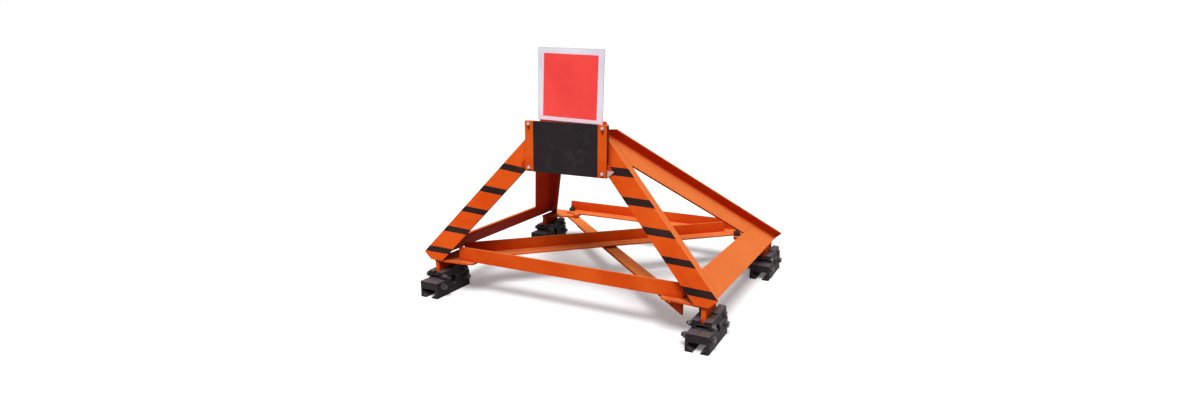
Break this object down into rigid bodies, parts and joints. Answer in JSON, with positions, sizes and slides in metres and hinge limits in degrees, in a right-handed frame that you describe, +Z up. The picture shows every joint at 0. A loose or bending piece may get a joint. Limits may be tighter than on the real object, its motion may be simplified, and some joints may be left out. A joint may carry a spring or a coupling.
{
  "type": "railway buffer stop",
  "caption": "Track-end buffer stop: two leaning tee-section side frames with diagonal bracing, a padded buffer plate, a square sign, and bolted clamps that grip the rail heads.",
  "frame": {"origin": "centre of the four rail clamps, at the level of their undersides", "axes": "+X across the track, +Y away from the approaching vehicle, +Z up"},
  "size_m": [1.655, 1.414, 1.324],
  "materials": {
    "frame_paint": "orange gloss paint over steel",
    "clamp_casting": "dark cast steel with a brownish bloom",
    "bolt_steel": "dull oiled steel",
    "rubber": "matt black rubber with dusty scuffs",
    "sign_enamel": "red square with a white border on sheet steel"
  },
  "bodies": {
    "root": {"leg_front_left": "frame_paint", "leg_front_right": "frame_paint", "leg_rear_left": "frame_paint", "leg_rear_right": "frame_paint", "sill_left": "frame_paint", "sill_right": "frame_paint", "foot_front_left": "frame_paint", "foot_front_right": "frame_paint", "foot_rear_left": "frame_paint", "foot_rear_right": "frame_paint", "beam_packing_left": "frame_paint", "beam_packing_right": "frame_paint", "beam_lug_left": "frame_paint", "beam_lug_right": "frame_paint", "brace_front": "frame_paint", "brace_rear": "frame_paint", "brace_diagonal_upper": "frame_paint", "brace_diagonal_lower": "frame_paint", "buffer_plate": "frame_paint", "pad_strip_left": "frame_paint", "pad_strip_right": "frame_paint", "sign_bracket": "frame_paint", "clamp_front_left_inner": "clamp_casting", "clamp_front_left_outer": "clamp_casting", "clamp_front_right_inner": "clamp_casting", "clamp_front_right_outer": "clamp_casting", "clamp_rear_left_inner": "clamp_casting", "clamp_rear_left_outer": "clamp_casting", "clamp_rear_right_inner": "clamp_casting", "clamp_rear_right_outer": "clamp_casting", "clamp_bolts_front_left": "bolt_steel", "clamp_bolts_front_right": "bolt_steel", "clamp_bolts_rear_left": "bolt_steel", "clamp_bolts_rear_right": "bolt_steel", "rubber_pad": "rubber", "sign_plate": "sign_enamel"}
  },
  "joints": []
}
